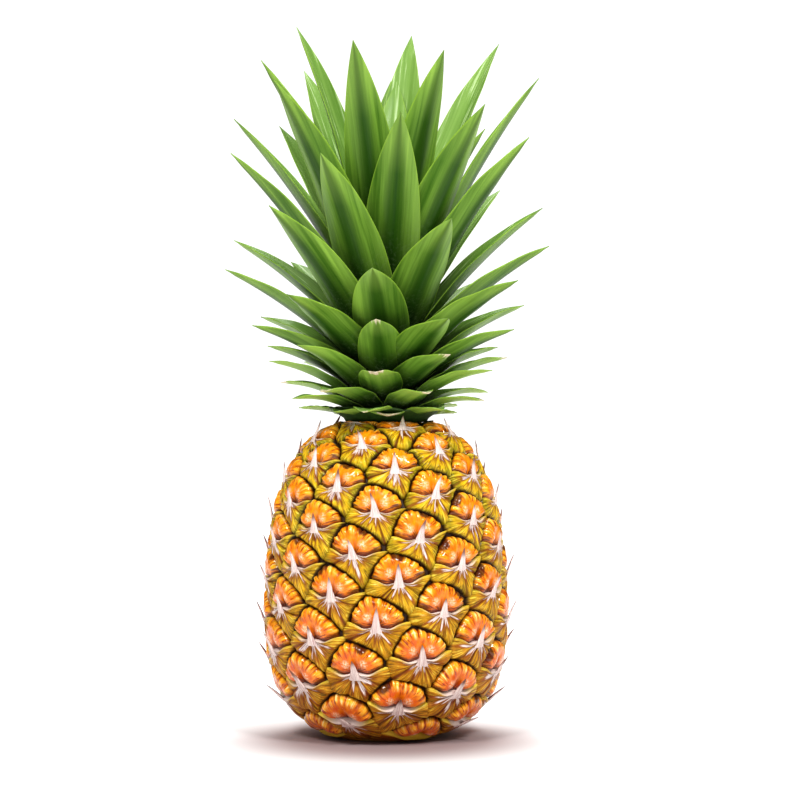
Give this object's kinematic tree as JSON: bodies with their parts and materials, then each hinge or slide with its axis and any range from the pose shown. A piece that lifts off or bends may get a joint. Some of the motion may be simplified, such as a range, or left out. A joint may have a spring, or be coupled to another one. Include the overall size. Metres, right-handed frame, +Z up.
{
  "type": "pineapple",
  "caption": "Fresh whole pineapple standing upright: barrel-shaped fruit with raised eyes and papery spines, under a rosette of long arching channelled leaves.",
  "frame": {"origin": "middle of the base, on the surface that the fruit stands on", "axes": "+Z up through the fruit and the crown; -Y is the side that the picture shows"},
  "size_m": [0.1644, 0.164, 0.3655],
  "materials": {
    "fruit_skin": "satin",
    "crown_leaf": "satin",
    "cut_stalk": "matte"
  },
  "bodies": {
    "root": {"fruit": "fruit_skin", "crown": "crown_leaf", "stalk": "cut_stalk"}
  },
  "joints": []
}
